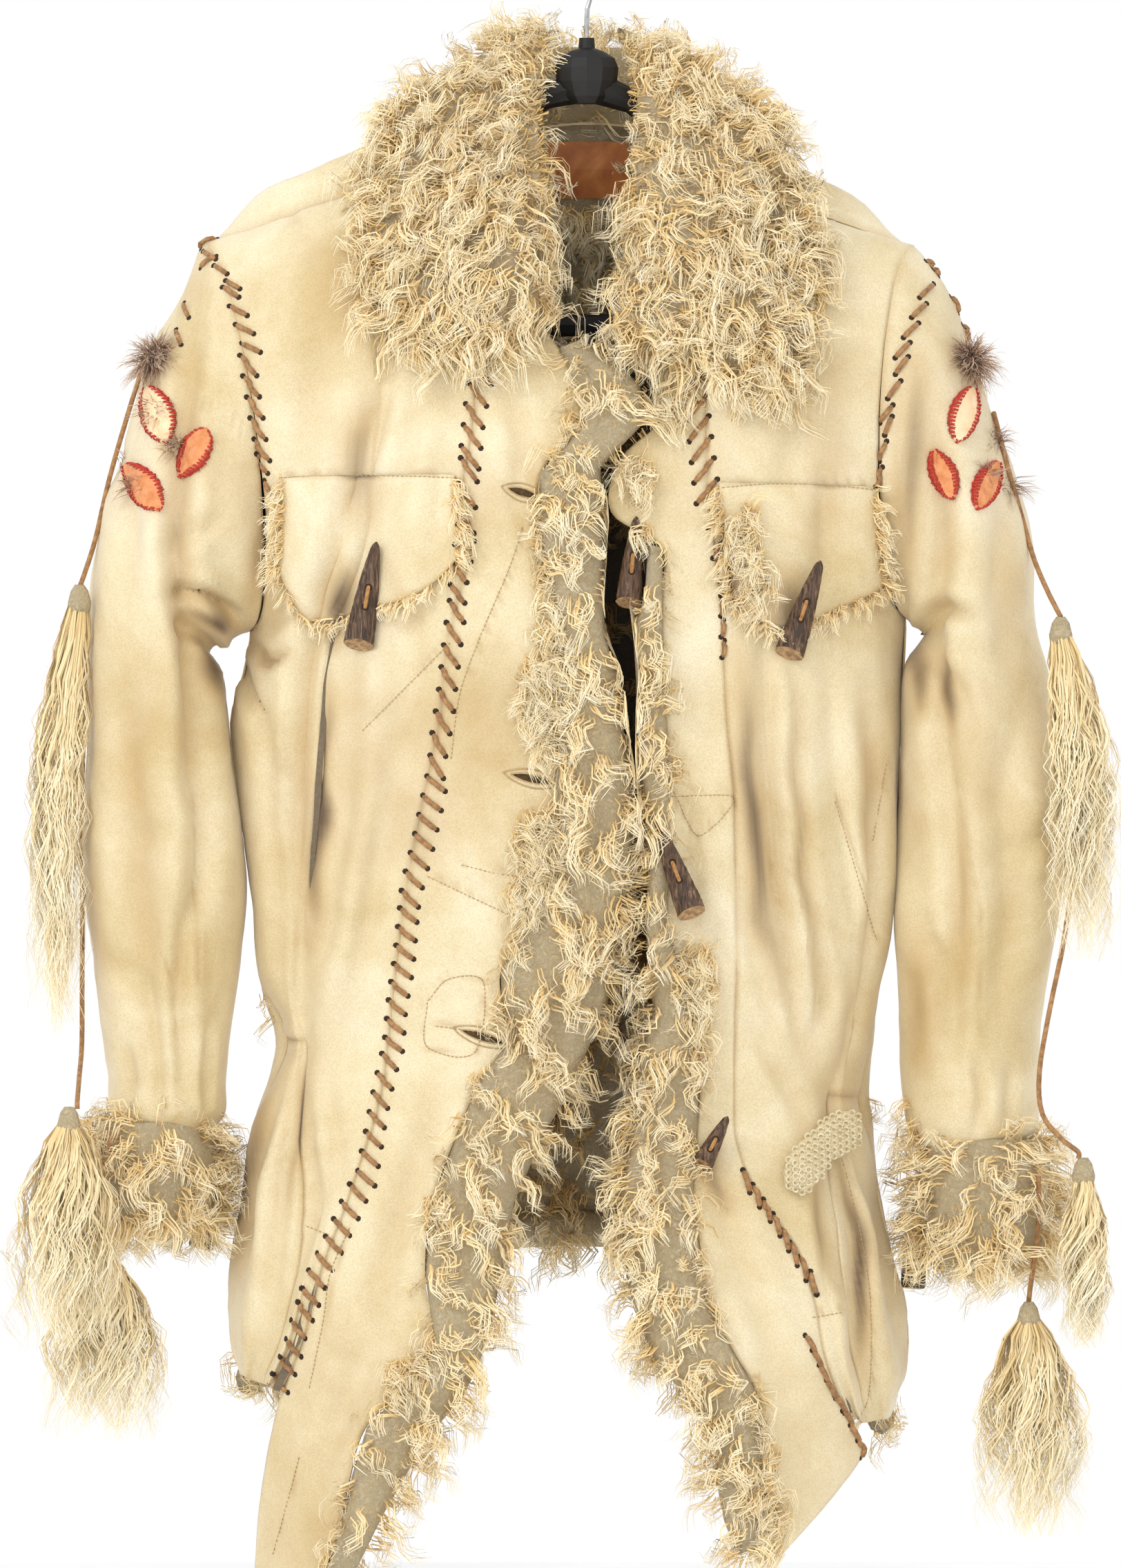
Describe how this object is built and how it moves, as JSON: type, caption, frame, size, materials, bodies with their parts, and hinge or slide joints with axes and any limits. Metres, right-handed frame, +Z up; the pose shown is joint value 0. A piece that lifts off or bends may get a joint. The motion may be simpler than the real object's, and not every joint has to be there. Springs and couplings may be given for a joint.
{
  "type": "lambskin coat on hanger",
  "caption": "Flared lambskin coat with a curly fleece collar, edges and cuffs, laced front seams, horn toggles and long fur tassels, hanging on a coat hanger.",
  "frame": {"origin": "inside of the top of the hanger's hook, where it hangs on a rail", "axes": "+Z up, the front of the coat faces -Y, X runs to the viewer's right across the shoulders"},
  "size_m": [0.721, 0.2349, 1.1041],
  "materials": {
    "hide": "soft matt suede side of lambskin",
    "fleece": "curly wool",
    "horn": "satin horn",
    "thong": "matt",
    "suede": "matt",
    "puff": "fluffy",
    "label": "satin",
    "plastic": "satin black",
    "wire": "bright",
    "knit": "knitted wool"
  },
  "bodies": {
    "root": {"back": "hide", "centre_front_left": "hide", "centre_front_right": "hide", "collar_back": "fleece", "collar_left": "fleece", "collar_right": "fleece", "cuff_left": "fleece", "cuff_right": "fleece", "cuff_toggle_left": "horn", "cuff_toggle_right": "horn", "fleece_edge_left": "fleece", "fleece_edge_right": "fleece", "fleece_hem_back": "fleece", "hanger": "plastic", "hook": "wire", "label": "label", "leaf_left_1": "hide", "leaf_left_2": "hide", "leaf_left_3": "suede", "leaf_right_1": "hide", "leaf_right_2": "hide", "leaf_right_3": "suede", "loop_1": "thong", "loop_2": "thong", "loop_3": "thong", "loop_4": "thong", "loop_5": "thong", "peplum_left": "hide", "peplum_right": "hide", "puff_left": "puff", "puff_right": "puff", "side_front_left": "hide", "side_front_right": "hide", "sleeve_left": "hide", "sleeve_right": "hide", "tassel_left_1": "fleece", "tassel_left_2": "fleece", "tassel_left_3": "fleece", "tassel_right_1": "fleece", "tassel_right_2": "fleece", "tassel_right_3": "fleece", "thong_left_1": "thong", "thong_left_2": "thong", "thong_left_3": "thong", "thong_right_1": "thong", "thong_right_2": "thong", "thong_right_3": "thong", "toggle_1": "horn", "toggle_2": "horn", "toggle_3": "horn", "toggle_4": "horn", "toggle_5": "horn", "waist_tie": "knit", "yoke_left": "hide", "yoke_right": "hide"}
  },
  "joints": []
}
